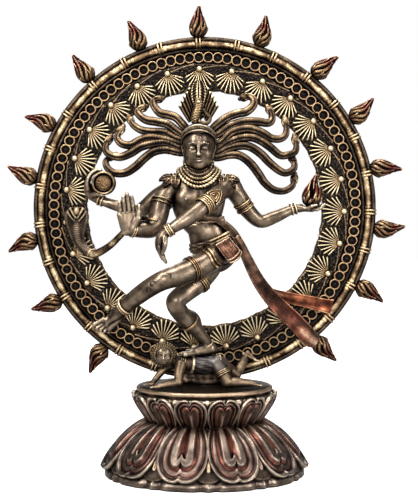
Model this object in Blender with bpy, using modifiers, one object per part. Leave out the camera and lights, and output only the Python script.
"""A cast brass dancing figure with four arms, inside a ring of flames on a double lotus base.

Units: every number below is in millimetres and is scaled to metres as a piece is made.
Frame: origin at the centre of the base's underside, +Z up, the figure faces -Y, +X is its left.
"""
import math

import bmesh
import bpy
from mathutils import Matrix, Vector

MM = 0.001
GAP = 0.3                 # clearance between touching pieces
CUT_GAP = 0.45            # how far a neighbour is swollen before it cuts a piece

# Driving dimensions of the base: an ellipse in plan, slightly shallower than wide
BASE_DEPTH_RATIO = 0.92
LOWER_LOTUS_RADIUS = 71.5
LOWER_LOTUS_TOP = 37.0
UPPER_LOTUS_RADIUS = 51.0
UPPER_LOTUS_TOP = 57.7
DECK_RADIUS = 47.4
DECK_TOP = 62.3
PLATE_RADIUS = 55.0
PLATE_THICKNESS = 2.0
PETALS = 10
STUD_RADIUS = 4.0
STUD_HOLE = STUD_RADIUS + 2 * GAP

# Driving dimensions of the ring of flames
RING_Y = 12.0             # the ring's middle plane
RING_Z = 184.8
TUBE_RADIUS = 4.35
TUBE_CENTRE = 116.4       # radius of the circle that the rim tube follows
WEB_THICKNESS = 3.0
WEB_INNER = 82.0
FAN_INNER = 80.0
FAN_OUTER = 97.5
CHAIN_INNER = 101.6
CHAIN_OUTER = 109.4
RELIEF_THICKNESS = 2.0
KNOTS = 27
FLAMES = 15
FLAME_STEP = 20.0         # degrees between neighbouring flames
FLAME_DRIFT = (-1.5, 0, 2, 2.5, 1, 1, 0, 0.5, 1, 2, 1, -1.5, -1, -1, 1.5)  # degrees each sits off an even step
FLAME_TIP = 143.0         # distance of a flame's tip from the ring's centre
RING_TURN = -2.2          # degrees that the whole pattern is turned, towards -X at the top

METALLIC = 0.9

COLOURS = {
    "bronze": (0.22, 0.15, 0.10),
    "bronze_gold": (0.50, 0.36, 0.17),
    "bronze_red": (0.30, 0.10, 0.07),
    "bronze_dark": (0.11, 0.07, 0.05),
    "bronze_grey": (0.20, 0.21, 0.23),
    "steel": (0.45, 0.45, 0.46),
    "felt": (0.03, 0.03, 0.03),
}

pieces = {}
whole_shapes = {}         # each piece's mesh before its neighbours cut it


# ---------------------------------------------------------------- scene and materials

def clear_scene():
    for obj in list(bpy.data.objects):
        bpy.data.objects.remove(obj, do_unlink=True)


def new_collection(name):
    collection = bpy.data.collections.new(name)
    bpy.context.scene.collection.children.link(collection)
    return collection


def piece_material(name, finish):
    """Each piece has a material of its own, in one of the shared finishes."""
    material = bpy.data.materials.new(name + "_" + finish)
    material.use_nodes = True
    shader = material.node_tree.nodes["Principled BSDF"]
    shader.inputs["Base Color"].default_value = COLOURS[finish] + (1.0,)
    soft = finish == "felt"
    shader.inputs["Metallic"].default_value = 0.0 if soft else METALLIC
    shader.inputs["Roughness"].default_value = 0.9 if soft else 0.42
    return material


def add_piece(name, mesh, finish):
    """Links a closed mesh as the named piece."""
    mesh.name = name
    mesh.materials.clear()
    mesh.materials.append(piece_material(name, finish))
    obj = bpy.data.objects.new(name, mesh)
    parts.objects.link(obj)
    mesh.shade_smooth()
    mesh.set_sharp_from_angle(angle=math.radians(40))
    pieces[name] = obj
    whole_shapes[name] = mesh.copy()
    return obj


# ---------------------------------------------------------------- mesh helpers

def tidy_mesh(mesh, turn_out=True):
    """Welds loose caps and turns the faces outwards."""
    work = bmesh.new()
    work.from_mesh(mesh)
    bmesh.ops.remove_doubles(work, verts=work.verts, dist=0.00002)
    if turn_out:
        bmesh.ops.recalc_face_normals(work, faces=work.faces)
    work.to_mesh(mesh)
    work.free()
    return mesh


def baked(obj):
    """The object's evaluated mesh in world space; the object itself is removed."""
    bpy.context.view_layer.update()
    graph = bpy.context.evaluated_depsgraph_get()
    mesh = bpy.data.meshes.new_from_object(obj.evaluated_get(graph), depsgraph=graph)
    mesh.transform(obj.matrix_world)
    bpy.data.objects.remove(obj, do_unlink=True)
    return mesh


def boolean(mesh, other, operation):
    """One mesh joined with, or cut by, another."""
    work = bpy.data.objects.new("work", mesh)
    tool = bpy.data.objects.new("tool", other)
    tool.hide_render = True
    tool.display_type = "WIRE"
    parts.objects.link(work)
    cutters.objects.link(tool)
    modifier = work.modifiers.new("boolean", "BOOLEAN")
    modifier.operation = operation
    modifier.solver = "EXACT"
    modifier.object = tool
    result = baked(work)
    bpy.data.objects.remove(tool, do_unlink=True)
    return tidy_mesh(result, turn_out=False)


def united(meshes):
    result = meshes[0]
    for other in meshes[1:]:
        result = boolean(result, other, "UNION")
    return largest_body(result)


def largest_body(mesh):
    """Keeps only the body with the most vertices, so that a cut leaves no loose slivers."""
    work = bmesh.new()
    work.from_mesh(mesh)
    work.verts.ensure_lookup_table()
    seen = set()
    bodies = []
    for start in work.verts:
        if start.index in seen:
            continue
        body = []
        front = [start]
        seen.add(start.index)
        while front:
            vert = front.pop()
            body.append(vert)
            for edge in vert.link_edges:
                other = edge.other_vert(vert)
                if other.index not in seen:
                    seen.add(other.index)
                    front.append(other)
        bodies.append(body)
    bodies.sort(key=len)
    for body in bodies[:-1]:
        bmesh.ops.delete(work, geom=body, context="VERTS")
    work.to_mesh(mesh)
    work.free()
    return mesh


def swollen(mesh, amount):
    """A copy of a mesh, pushed outwards, that cuts a neighbour with clearance."""
    copy = mesh.copy()
    work = bmesh.new()
    work.from_mesh(copy)
    work.normal_update()
    moves = [vert.normal * min(vert.calc_shell_factor(), 1.5) * amount * MM for vert in work.verts]
    for vert, move in zip(work.verts, moves):
        vert.co += move
    work.to_mesh(copy)
    work.free()
    return copy


def clear_of(name, *neighbours):
    """Cuts a piece back from the neighbours that it meets."""
    obj = pieces[name]
    mesh = obj.data
    for neighbour in neighbours:
        mesh = boolean(mesh.copy(), swollen(whole_shapes[neighbour], CUT_GAP), "DIFFERENCE")
        mesh = largest_body(mesh)
    obj.data = mesh


# ---------------------------------------------------------------- shape makers

def smooth_path(stations, steps):
    """Points (x, y, z, radius) on a smooth curve through the stations."""
    rows = [Vector(row) for row in stations]
    rows = [2 * rows[0] - rows[1]] + rows + [2 * rows[-1] - rows[-2]]
    path = []
    for i in range(1, len(rows) - 2):
        a, b, c, d = rows[i - 1:i + 3]
        for step in range(steps):
            t = step / steps
            path.append(0.5 * ((2 * b) + (c - a) * t + (2 * a - 5 * b + 4 * c - d) * t ** 2
                               + (3 * b - a - 3 * c + d) * t ** 3))
    path.append(rows[-2])
    return [tuple(row) for row in path]


def tube_mesh(stations, steps=2, sides=8, closed=False, squash=None, profile=None):
    """A round tube through stations (x, y, z, radius), or a sweep of a flat profile."""
    path = stations if closed else smooth_path(stations, steps)
    curve = bpy.data.curves.new("tube", "CURVE")
    curve.dimensions = "3D"
    curve.use_fill_caps = not closed
    if profile is None:
        curve.bevel_depth = MM
        curve.bevel_resolution = (sides - 4) // 2
    else:
        curve.bevel_mode = "OBJECT"
        curve.bevel_object = profile
    spline = curve.splines.new("POLY")
    spline.points.add(len(path) - 1)
    for point, (x, y, z, radius) in zip(spline.points, path):
        point.co = (x * MM, y * MM, z * MM, 1.0)
        point.radius = radius
    spline.use_cyclic_u = closed
    obj = bpy.data.objects.new("tube", curve)
    parts.objects.link(obj)
    mesh = tidy_mesh(baked(obj))
    if squash is not None:
        axis, centre, ratio = squash
        for vert in mesh.vertices:
            vert.co[axis] = centre * MM + (vert.co[axis] - centre * MM) * ratio
    return mesh


def rounded(stations, blunt=0.55):
    """Adds a small end station, so that a limb ends in a rounded tip."""
    x, y, z, radius = stations[-1]
    before = Vector(stations[-2][:3])
    tip = Vector((x, y, z))
    tip += (tip - before).normalized() * radius * blunt
    return list(stations) + [(tip.x, tip.y, tip.z, radius * 0.35)]


def turned_mesh(profile, steps, ratio=1.0):
    """A profile of (radius, height), run down its outer side, turned about +Z."""
    mesh = bpy.data.meshes.new("turned")
    verts = [(radius * MM, 0.0, height * MM) for radius, height in profile]
    count = len(verts)
    on_axis = profile[0][0] == 0 and profile[-1][0] == 0
    edges = [(i, (i + 1) % count) for i in range(count - 1 if on_axis else count)]
    mesh.from_pydata(verts, edges, [])
    obj = bpy.data.objects.new("turned", mesh)
    parts.objects.link(obj)
    screw = obj.modifiers.new("turn", "SCREW")
    screw.steps = steps
    screw.render_steps = steps
    screw.use_merge_vertices = True
    screw.merge_threshold = 0.00001
    screw.use_smooth_shade = True
    result = tidy_mesh(baked(obj))
    for vert in result.vertices:
        vert.co.y *= ratio
    return result


def plate_mesh(outlines, thickness, centre_y):
    """Flat outlines in the XZ plane, the first the outer one, made to a thickness along Y."""
    curve = bpy.data.curves.new("plate", "CURVE")
    curve.dimensions = "2D"
    curve.fill_mode = "BOTH"
    curve.extrude = thickness * MM / 2
    for outline in outlines:
        spline = curve.splines.new("POLY")
        spline.points.add(len(outline) - 1)
        for point, (x, z) in zip(spline.points, outline):
            point.co = (x * MM, z * MM, 0.0, 1.0)
        spline.use_cyclic_u = True
    obj = bpy.data.objects.new("plate", curve)
    parts.objects.link(obj)
    obj.rotation_euler = (math.radians(90), 0.0, 0.0)
    obj.location = (0.0, centre_y * MM, 0.0)
    return tidy_mesh(baked(obj))


def ball_mesh(centre, radii, segments=16, rings=10):
    mesh = bpy.data.meshes.new("ball")
    work = bmesh.new()
    bmesh.ops.create_uvsphere(work, u_segments=segments, v_segments=rings, radius=MM)
    bmesh.ops.scale(work, vec=radii, verts=work.verts)
    bmesh.ops.translate(work, vec=Vector(centre) * MM, verts=work.verts)
    work.to_mesh(mesh)
    work.free()
    return mesh


def disc_mesh(centre, radius, depth, axis, segments=24):
    """A short cylinder about the axis through its centre."""
    mesh = bpy.data.meshes.new("disc")
    turn = Vector((0, 0, 1)).rotation_difference(Vector(axis)).to_matrix().to_4x4()
    work = bmesh.new()
    bmesh.ops.create_cone(work, cap_ends=True, segments=segments, radius1=radius * MM,
                          radius2=radius * MM, depth=depth * MM,
                          matrix=Matrix.Translation(Vector(centre) * MM) @ turn)
    work.to_mesh(mesh)
    work.free()
    return mesh


def box_mesh(low, high):
    mesh = bpy.data.meshes.new("box")
    low = Vector(low) * MM
    high = Vector(high) * MM
    work = bmesh.new()
    bmesh.ops.create_cube(work, size=1.0)
    bmesh.ops.scale(work, vec=high - low, verts=work.verts)
    bmesh.ops.translate(work, vec=(high + low) / 2, verts=work.verts)
    work.to_mesh(mesh)
    work.free()
    return mesh


def on_ring(degrees, radius):
    """Point (x, z) at an angle clockwise from the top, in the ring's own pattern."""
    angle = math.radians(degrees + RING_TURN)
    return radius * math.sin(angle), RING_Z + radius * math.cos(angle)


def circle_outline(radius, count):
    return [on_ring(360.0 * i / count, radius) for i in range(count)]


def scalloped_outline(radius, depth, lobes, points_per_lobe):
    """A circle whose edge swells towards the ring's centre once for each lobe."""
    count = lobes * points_per_lobe
    outline = []
    for i in range(count):
        wave = abs(math.cos(math.pi * i / points_per_lobe))
        outline.append(on_ring(360.0 * i / count, radius + depth * (1 - wave)))
    return outline


# ---------------------------------------------------------------- base

def swell_petals(mesh, low, high, amount):
    """Pushes the outer wall out over each petal and in between two petals."""
    for vert in mesh.vertices:
        height = vert.co.z / MM
        radius = math.hypot(vert.co.x, vert.co.y / BASE_DEPTH_RATIO) / MM
        if not low < height < high or radius < STUD_HOLE * 2:
            continue
        angle = math.atan2(vert.co.x, -vert.co.y / BASE_DEPTH_RATIO)
        rise = math.sin(math.pi * (height - low) / (high - low))
        swell = 1 + amount / radius * rise * -math.cos(PETALS * angle)
        vert.co.x *= swell
        vert.co.y *= swell
    return mesh


def make_base():
    plate = turned_mesh([(0, PLATE_THICKNESS), (PLATE_RADIUS, PLATE_THICKNESS),
                         (PLATE_RADIUS, 0), (0, 0)], 40, BASE_DEPTH_RATIO)
    add_piece("base_bottom_plate", plate, "felt")

    top = LOWER_LOTUS_TOP
    rim = LOWER_LOTUS_RADIUS
    outer = [(38.5, top), (43, 35.5), (50, 32), (57, 26), (63, 19), (68, 12),
             (rim, 7), (rim, 3.5), (68, 0)]
    inner = [(PLATE_RADIUS + GAP, 0), (PLATE_RADIUS + GAP, PLATE_THICKNESS + GAP),
             (52, 12), (44, 22), (34, 31), (STUD_HOLE, 31), (STUD_HOLE, top)]
    lower = turned_mesh(outer + inner, 40, BASE_DEPTH_RATIO)
    add_piece("base_lower_lotus", swell_petals(lower, 2, 34, 1.4), "bronze_dark")

    top = UPPER_LOTUS_TOP
    foot = LOWER_LOTUS_TOP + GAP
    outer = [(49.5, top), (UPPER_LOTUS_RADIUS, 55.5), (48.5, 50), (44, 44.5), (40.5, 40.5), (39, foot)]
    inner = [(STUD_HOLE, foot), (STUD_HOLE, 42), (34, 42), (42, 52), (43, top)]
    upper = turned_mesh(outer + inner, 40, BASE_DEPTH_RATIO)
    add_piece("base_upper_lotus", swell_petals(upper, 38.5, 57, 1.0), "bronze_dark")

    foot = UPPER_LOTUS_TOP + GAP
    socket = DECK_TOP - 1.8
    deck = turned_mesh([(0, DECK_TOP), (45.8, DECK_TOP), (DECK_RADIUS, DECK_TOP - 0.6),
                        (DECK_RADIUS, foot + 1.2), (46, foot), (STUD_HOLE, foot),
                        (STUD_HOLE, socket), (0, socket)], 36, BASE_DEPTH_RATIO)
    add_piece("base_deck", deck, "bronze_dark")

    stud_low = 24.0
    stud_high = socket - GAP
    stud = disc_mesh((0, 0, (stud_low + stud_high) / 2), STUD_RADIUS, stud_high - stud_low, (0, 0, 1), 16)
    add_piece("base_stud", stud, "steel")
    nut = turned_mesh([(8.5, 30.6), (8.5, 26), (5.4, 26), (5.4, 30.6)], 6)
    add_piece("base_nut", nut, "steel")


# ---------------------------------------------------------------- ring of flames

def knotted_circle():
    """Stations round the rim tube: a swelling at each knot."""
    stations = []
    step = 360.0 / KNOTS
    for knot in range(KNOTS):
        for offset, swell in ((-0.5, 0.0), (-0.14, 0.0), (-0.07, 0.8), (0.07, 0.8), (0.14, 0.0)):
            x, z = on_ring((knot + offset) * step, TUBE_CENTRE)
            stations.append((x, RING_Y, z, TUBE_RADIUS - 0.5 + swell))
    return stations


def make_ring():
    edge = TUBE_CENTRE - TUBE_RADIUS - GAP
    web = plate_mesh([circle_outline(edge, 72), circle_outline(WEB_INNER, 72)], WEB_THICKNESS, RING_Y)
    add_piece("ring_web", web, "bronze")
    add_piece("ring_rim_tube", tube_mesh(knotted_circle(), sides=6, closed=True), "bronze_gold")

    offset = WEB_THICKNESS / 2 + GAP + RELIEF_THICKNESS / 2
    for side, y in (("front", RING_Y - offset), ("back", RING_Y + offset)):
        fans = plate_mesh([circle_outline(FAN_OUTER, 54), scalloped_outline(FAN_INNER, 2.2, KNOTS, 3)],
                          RELIEF_THICKNESS, y)
        add_piece("fan_border_" + side, fans, "bronze_gold")
        chain = plate_mesh([circle_outline(CHAIN_OUTER, 54), circle_outline(CHAIN_INNER, 54)],
                           RELIEF_THICKNESS, y)
        add_piece("rosette_chain_" + side, chain, "bronze_gold")

    saddle = box_mesh((-17, RING_Y - 9, DECK_TOP + GAP), (17, RING_Y + 9, 71.5))
    add_piece("ring_saddle", saddle, "bronze_dark")
    clear_of("ring_saddle", "ring_rim_tube", "ring_web")

    root = TUBE_CENTRE + TUBE_RADIUS + GAP
    reach = FLAME_TIP - root
    outline = ((0.0, 2.6), (0.12, 3.6), (0.3, 5.6), (0.45, 5.9), (0.62, 4.3), (0.8, 2.0), (0.92, 1.1), (1.0, 0.5))
    for index in range(FLAMES):
        angle = FLAME_STEP * (index - (FLAMES - 1) / 2) + FLAME_DRIFT[index]
        stations = []
        for share, radius in outline:
            x, z = on_ring(angle, root + reach * share)
            stations.append((x, RING_Y, z, radius))
        flame = tube_mesh(stations, steps=1, sides=6, squash=(1, RING_Y, 0.85))
        add_piece("flame_%02d" % (index + 1), flame, "bronze_red")


# ---------------------------------------------------------------- dancing figure

TORSO = ((-3.8, -14, 205.2, 6.0), (-3.6, -14, 202, 17), (-3.8, -14, 197.5, 21.5), (-4.6, -14, 190, 19.5),
         (-4, -14, 182, 16.5), (-0.5, -14, 174, 12), (2.5, -14, 166, 13), (6.5, -14, 158, 16.5),
         (9, -14, 151, 15.5), (10, -14, 146, 9.5))

ARM_FRONT_LEFT = ((15, -16, 199, 6.2), (9.1, -25, 195.3, 5.8), (0.3, -35, 188, 5.6), (-9.6, -40, 180.1, 5.2),
                  (-17, -42, 175.3, 4.2), (-24.2, -42, 170.8, 3.6), (-28.8, -41, 165.5, 4.2),
                  (-30.6, -40, 160.1, 3.4), (-28.6, -39, 154.5, 2.6), (-25.6, -38, 150.4, 1.8))
ARM_REAR_LEFT = ((19, -12, 199.5, 6.0), (24, -11, 192, 6.0), (29, -9, 184.5, 5.4), (38, -7, 176.5, 4.6),
                 (48.4, -5, 179.4, 4.4), (60.2, -2, 184.4, 3.2), (68, 0, 184.6, 3.8), (76, 0, 184.0, 3.4),
                 (82, 0, 186, 2.2))
ARM_FRONT_RIGHT = ((-22, -14, 200, 6.2), (-28.3, -17, 191.2, 6.4), (-31.5, -21, 180, 5.6),
                   (-34.5, -26, 170.8, 4.8), (-41.4, -30, 170.4, 4.4), (-48.2, -33, 173.3, 3.5),
                   (-50.6, -34.5, 179.5, 5.0), (-51.0, -35, 186, 4.6), (-51.6, -35, 192.5, 3.2))
ARM_REAR_RIGHT = ((-24, -10, 199, 5.4), (-33, -9, 193.5, 5.2), (-41, -7, 186.5, 4.6), (-47.1, -6, 183.4, 4.2),
                  (-60.3, -3, 187, 3.9), (-72.9, 0.5, 191.1, 3.0), (-78.6, 1.5, 196.5, 3.6),
                  (-79.6, 1.5, 203, 2.6))
LEG_RAISED = ((12, -16, 156.5, 8.6), (5, -24, 152, 9.0), (-5.4, -33, 146.2, 8.8), (-17.6, -40, 141.2, 7.8),
              (-27.4, -43, 138, 6.8), (-36.1, -42, 133.2, 6.2), (-46.4, -36, 125.6, 5.4),
              (-57.4, -30, 116.6, 4.0), (-63.5, -28, 110.5, 3.8), (-70.5, -30, 103.4, 3.0))
LEG_STANDING = ((8, -13, 150, 8.4), (3.7, -14, 143.5, 8.2), (-4.5, -19, 135.2, 7.4), (-13.9, -26, 128, 6.6),
                (-19.8, -29, 122.4, 6.2), (-16.6, -26, 115.2, 5.8), (-9.9, -22, 107.5, 5.2),
                (-3.1, -18, 99.4, 4.4), (2.0, -15, 92.4, 4.0))
LEFT_LOCKS = (
    ((-14.9, 242.7), (-19.7, 247.5), (-25.2, 249.5), (-30.7, 250.9), (-34.8, 255.7), (-35.5, 259.1), (-32, 260.5)),
    ((-17.6, 237.2), (-25.2, 242.7), (-33.4, 244.7), (-40.3, 246.1), (-45.1, 249.5), (-46.5, 252.3), (-43, 254.3)),
    ((-19.7, 233), (-27.9, 237.2), (-36.8, 237.8), (-43.7, 239.2), (-49.2, 242.7), (-51.3, 246.1)),
    ((-18.3, 229.6), (-27.9, 232.3), (-36.8, 233.7), (-43.7, 232.3), (-50.6, 228.9), (-56.8, 229.6), (-60.2, 233),
     (-60.2, 235.8), (-58.1, 239.2)),
    ((-17.6, 226.9), (-26.5, 230.3), (-35.5, 229.6), (-43.7, 227.5), (-50.6, 223.4), (-57.5, 220.7),
     (-63.6, 221.4), (-67.8, 224.1), (-68.4, 228.2), (-66.4, 232.3)),
    ((-15.5, 223.4), (-26.5, 225.5), (-34.8, 224.1), (-41, 220), (-47.8, 213.8), (-54.7, 209.7), (-62.3, 209.6),
     (-67.1, 213.1), (-68.4, 217.9), (-64.3, 221)),
)
RIGHT_LOCKS = (
    ((7.8, 242), (15.4, 247.5), (22.2, 250.2), (28.4, 251.6), (33.2, 255.7), (33.9, 259.8), (31.2, 262.6),
     (27.7, 261.9)),
    ((9.9, 236.5), (18.1, 242), (27.7, 244.7), (36.7, 244.7), (43.5, 244), (46.3, 246.1), (46.3, 250.2),
     (44.9, 253)),
    ((10.6, 230.3), (18.1, 237.2), (27.7, 239.9), (34.6, 239.2), (40.8, 236.5), (45.6, 233.7), (51.1, 233),
     (55.2, 235.1), (56.6, 239.2), (55.9, 244.7)),
    ((9.2, 226), (15.4, 230.2), (24.3, 233.6), (32.5, 233.9), (38.7, 231.7), (44.9, 227.5), (51.8, 222),
     (57.2, 222), (62.1, 224), (63.5, 228), (62.8, 232.3)),
    ((7.8, 222.7), (15.4, 226.2), (24.3, 228.2), (31.2, 227.5), (38.7, 222.7), (44.9, 216.5), (51.8, 211.1),
     (56.6, 209.7), (61.4, 212.4), (62.1, 216.5), (60.7, 219.3)),
    ((7.8, 220), (16.7, 222), (24.3, 221.4), (31.2, 216.5), (36.7, 209.7), (41.5, 202.8), (47.7, 198),
     (55.2, 197.3), (60.7, 200.7), (62.1, 205.6)),
)
LOCK_ROOT_Y = -13.0
LOCK_TIP_Y = 3.0
LOCK_RADIUS = 2.0


def make_limbs():
    add_piece("torso", tube_mesh(TORSO, 2, 12, squash=(1, -14, 0.62)), "bronze")
    limbs = (("arm_front_left", ARM_FRONT_LEFT), ("arm_rear_left", ARM_REAR_LEFT),
             ("arm_front_right", ARM_FRONT_RIGHT), ("arm_rear_right", ARM_REAR_RIGHT),
             ("leg_raised", LEG_RAISED), ("leg_standing", LEG_STANDING))
    for name, stations in limbs:
        shape = tube_mesh(rounded(stations), 1, 8)
        if name == "leg_standing":
            foot = tube_mesh(rounded([(8.5, -9, 87.6, 3.2), (3.2, -13, 88.6, 4.0), (-5, -19, 88.2, 3.4),
                                      (-13, -25, 87.6, 2.4)]), 1, 8)
            shape = united([shape, foot])
        add_piece(name, shape, "bronze")
        clear_of(name, "torso")
    clear_of("arm_rear_left", "arm_front_left")
    clear_of("arm_rear_right", "arm_front_right")
    clear_of("leg_standing", "leg_raised")


def band(name, stations, place, spread, finish="bronze_gold"):
    """A closed ring worn on a limb, at a place counted in stations along it."""
    path = smooth_path(stations, 8)
    index = int(round(place * 8))
    x, y, z, radius = path[index]
    ahead = Vector(path[index + 1][:3]) - Vector(path[index - 1][:3])
    turn = Vector((0, 0, 1)).rotation_difference(ahead).to_matrix().to_4x4()
    outer = radius + GAP + 1.6
    inner = radius + GAP + 0.5
    mesh = turned_mesh([(outer, spread / 2), (outer, -spread / 2), (inner, -spread / 2), (inner, spread / 2)], 16)
    mesh.transform(Matrix.Translation(Vector((x, y, z)) * MM) @ turn)
    add_piece(name, tidy_mesh(mesh), finish)


def make_bands():
    band("armlet_front_left", ARM_FRONT_LEFT, 2.0, 5.0)
    band("armlet_rear_left", ARM_REAR_LEFT, 1.6, 4.0)
    band("armlet_front_right", ARM_FRONT_RIGHT, 1.4, 4.5)
    clear_of("armlet_front_right", "arm_rear_right", "torso")
    clear_of("armlet_rear_left", "arm_front_left", "torso")
    clear_of("armlet_front_left", "torso")
    band("bracelet_front_left", ARM_FRONT_LEFT, 5.0, 3.0)
    band("bracelet_rear_left", ARM_REAR_LEFT, 5.0, 3.0)
    band("thigh_band", LEG_RAISED, 2.3, 4.0)
    band("anklet", LEG_RAISED, 7.2, 2.4)


def make_head():
    head = ball_mesh((-4, -17, 227), (10.5, 11.5, 15.5))
    neck = tube_mesh([(-3.8, -14.5, 206.8, 5.2), (-3.9, -15.5, 210, 5.4), (-4, -16.5, 217, 5.4)], 1, 12)
    add_piece("head", united([head, neck]), "bronze")
    diadem = turned_mesh([(11.2, 242.3), (12.6, 240), (13.0, 236), (12.2, 233), (10.8, 233), (10, 242.3)], 24, 1.05)
    diadem.transform(Matrix.Translation(Vector((-4, -17, 0)) * MM))
    add_piece("diadem", diadem, "bronze_gold")
    clear_of("diadem", "head")

    fan = [(-8.0, 243.0), (-18.2, 252.0), (-13.0, 260.5), (-7.5, 266.5), (-4.1, 270.5), (-0.7, 266.5),
           (4.8, 260.5), (10.0, 252.0), (0.0, 243.0)]
    add_piece("crest_fan", plate_mesh([fan], 3.6, -13.0), "bronze_gold")
    cobra = tube_mesh(rounded([(-4, -19.4, 244.5, 1.6), (-3.9, -18.6, 250, 1.9), (-4, -18.4, 256, 2.6),
                               (-4, -18.6, 262, 3.0), (-4, -19.5, 267, 2.0)]), 2, 8)
    add_piece("crest_cobra", cobra, "bronze")
    clear_of("crest_cobra", "crest_fan", "diadem", "head")
    clear_of("crest_fan", "head", "diadem")

    collar = turned_mesh([(11, 206.2), (15.5, 202.5), (18.2, 198.6), (17.4, 197.2), (9, 203), (8.2, 206.2)],
                         24, 0.72)
    collar.transform(Matrix.Translation(Vector((-3.8, -15, 0)) * MM))
    add_piece("collar_necklace", collar, "bronze_gold")
    clear_of("collar_necklace", "torso", "head", "arm_front_left", "arm_front_right",
             "arm_rear_left", "arm_rear_right")


def lock_stations(route):
    """A flat route (x, z) that drifts back to the ring, thick at the root, with a small head."""
    stations = []
    last = len(route) - 1
    for i, (x, z) in enumerate(route):
        share = i / last
        y = LOCK_ROOT_Y + (LOCK_TIP_Y - LOCK_ROOT_Y) * share
        radius = LOCK_RADIUS - 0.5 * share
        if i == last:
            radius = LOCK_RADIUS
        stations.append((x, y, z, radius))
    return rounded(stations)


def make_hair():
    for side, locks, x in (("right", LEFT_LOCKS, -15.5), ("left", RIGHT_LOCKS, 7.5)):
        root = tube_mesh([(x, LOCK_ROOT_Y, 219, 1.6), (x, LOCK_ROOT_Y, 226, 3.2), (x, LOCK_ROOT_Y, 236, 3.4),
                          (x, LOCK_ROOT_Y, 243.5, 1.8)], 1, 8)
        shapes = [root]
        for route in locks:
            inner = (x, route[0][1] - 0.4)
            shapes.append(tube_mesh(lock_stations((inner,) + route[1:]), 1, 6))
        add_piece("hair_locks_" + side, united(shapes), "bronze_gold")
        clear_of("hair_locks_" + side, "head", "diadem", "crest_fan")


def make_hand_pieces():
    drum = turned_mesh([(7.6, 5.0), (7.6, 3.8), (5.4, 0.0), (7.6, -3.8), (7.6, -5.0), (0, -5.0), (0, 5.0)], 20)
    drum.transform(Matrix.Translation(Vector((-70, -2.5, 202.3)) * MM) @ Matrix.Rotation(math.radians(90), 4, "X"))
    add_piece("hand_drum", tidy_mesh(drum), "bronze_gold")
    clear_of("hand_drum", "arm_rear_right")

    flame = tube_mesh([(74.2, 0, 187.5, 3.2), (74.2, 0, 191, 5.6), (74.0, 0, 195.5, 6.6), (74.4, 0, 200, 5.0),
                       (74.6, 0, 204.5, 2.6), (74.2, 0, 209.3, 0.5)], 2, 8, squash=(1, 0, 0.85))
    add_piece("hand_flame", flame, "bronze_red")
    clear_of("hand_flame", "arm_rear_left")

    cobra = tube_mesh([(-89.3, -0.5, 186.5, 3.0), (-89.1, 0, 182, 6.0), (-88.6, 0.5, 176, 4.6), (-86.3, 0, 168.9, 3.6),
                       (-82.5, -2, 159.5, 3.2), (-75.3, -8, 154.3, 3.0), (-65.7, -15, 158.6, 2.6),
                       (-57.5, -22, 167, 2.3), (-49, -24, 176.5, 1.9), (-42.5, -30, 179.6, 1.6),
                       (-37, -34, 178.4, 1.3), (-31.5, -36.5, 177.6, 0.9)], 2, 8)
    add_piece("forearm_cobra", cobra, "bronze")
    clear_of("forearm_cobra", "arm_front_right", "arm_front_left", "arm_rear_right")


def flat_profile(width, thickness):
    """A closed rectangle, swept along a path as a strip of cloth."""
    curve = bpy.data.curves.new("profile", "CURVE")
    curve.dimensions = "2D"
    spline = curve.splines.new("POLY")
    spline.points.add(3)
    half = width * MM / 2
    thin = thickness * MM / 2
    for point, (x, y) in zip(spline.points, ((-thin, -half), (thin, -half), (thin, half), (-thin, half))):
        point.co = (x, y, 0.0, 1.0)
    spline.use_cyclic_u = True
    obj = bpy.data.objects.new("profile", curve)
    cutters.objects.link(obj)
    return obj


def strip_mesh(stations, width, thickness):
    """A flat strip; each station's last number scales the strip's section."""
    profile = flat_profile(width, thickness)
    mesh = tube_mesh(stations, steps=3, profile=profile)
    bpy.data.objects.remove(profile, do_unlink=True)
    return mesh


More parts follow.
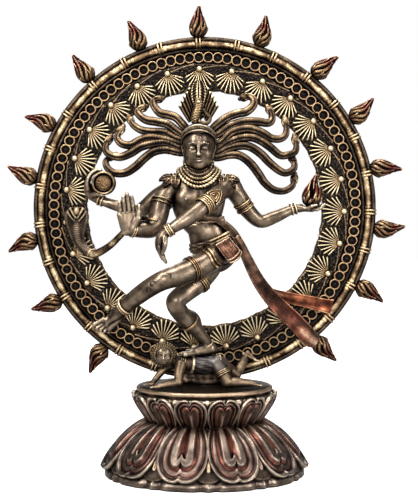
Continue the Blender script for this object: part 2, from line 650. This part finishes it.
def make_cloth():
    sash = turned_mesh([(14.6, 2.0), (14.6, -2.0), (12.4, -2.0), (12.4, 2.0)], 24, 0.74)
    tilt = Matrix.Rotation(math.radians(-8), 4, "Y")
    sash.transform(Matrix.Translation(Vector((0.2, -14, 175)) * MM) @ tilt)
    add_piece("waist_sash", tidy_mesh(sash), "bronze_red")
    clear_of("waist_sash", "torso", "arm_front_left")

    long_tail = strip_mesh([(15.5, -22, 173, 0.5), (24.8, -18, 161.2, 0.62), (31, -14.5, 148.2, 0.7),
                            (39.9, -10.5, 133, 0.8), (51.1, -6, 119.7, 0.9), (64.4, -1.5, 106.3, 1.0),
                            (77.6, 0.5, 91.7, 1.05)], 12.5, 2.0)
    add_piece("sash_long_tail", long_tail, "bronze_red")
    clear_of("sash_long_tail", "waist_sash", "torso")
    short_tail = strip_mesh([(47, -1, 125.8, 0.7), (60.4, 1, 122.7, 0.85), (73, 2.5, 119, 1.0),
                             (87.5, 3, 115.6, 1.05)], 8.5, 1.8)
    add_piece("sash_short_tail", short_tail, "bronze_red")
    clear_of("sash_short_tail", "sash_long_tail")

    cloth = disc_mesh((17.5, -26.2, 152.5), 9.8, 4.4, (0, 1, 0), 18)
    add_piece("hip_cloth", cloth, "bronze_red")
    clear_of("hip_cloth", "leg_raised", "torso", "leg_standing", "sash_long_tail")

    girdle = turned_mesh([(17.4, 1.4), (17.4, -1.4), (15.0, -1.4), (15.0, 1.4)], 24, 0.7)
    tilt = Matrix.Rotation(math.radians(-14), 4, "Y")
    girdle.transform(Matrix.Translation(Vector((5.0, -14, 162.5)) * MM) @ tilt)
    add_piece("girdle", tidy_mesh(girdle), "bronze_gold")
    clear_of("girdle", "torso", "leg_raised", "leg_standing", "sash_long_tail", "hip_cloth")


# ---------------------------------------------------------------- dwarf under the foot

def make_dwarf():
    body = tube_mesh([(-19, -21, 80.5, 3.6), (-14, -20, 79.5, 5.6), (-6, -18, 77.6, 5.4), (1, -16, 77.8, 5.0),
                      (8, -14, 77.8, 6.4), (13, -14, 76.4, 5.6), (16, -14, 75, 3.0)], 1, 10)
    arm = tube_mesh(rounded([(-14, -22, 79, 4.0), (-15.5, -24.5, 73, 3.4), (-16.5, -26, 67.4, 3.2),
                             (-25, -28, 66.2, 2.8), (-34, -29, 65.6, 2.4)]), 1, 8)
    leg = tube_mesh(rounded([(9, -16, 76, 5.2), (12.5, -19, 70.5, 4.6), (15.5, -20.5, 67.2, 4.0),
                             (24, -19, 66.4, 3.4), (33, -17, 65.8, 2.6)]), 1, 8)
    other_leg = tube_mesh(rounded([(12, -12, 76, 5.2), (19, -8, 71, 4.4), (24, -5, 67.8, 3.8),
                                   (27.5, -6, 73, 3.2), (30, -7, 79.5, 2.6), (38, -5, 77.2, 2.2)]), 1, 8)
    add_piece("dwarf_body", united([body, arm, leg, other_leg]), "bronze_grey")
    clear_of("dwarf_body", "leg_standing")
    add_piece("dwarf_head", ball_mesh((-28, -24, 85.2), (5.6, 5.4, 6.6), 14, 8), "bronze")
    clear_of("dwarf_head", "dwarf_body")
    add_piece("dwarf_hair", disc_mesh((-28.6, -18.6, 86.2), 8.8, 3.0, (-0.15, 1, 0.1), 20), "bronze_gold")
    clear_of("dwarf_hair", "dwarf_head", "dwarf_body")


clear_scene()
parts = new_collection("brass_nataraja_statue")
cutters = new_collection("cutters")
make_base()
make_ring()
make_limbs()
make_bands()
make_head()
make_hair()
make_hand_pieces()
make_cloth()
make_dwarf()
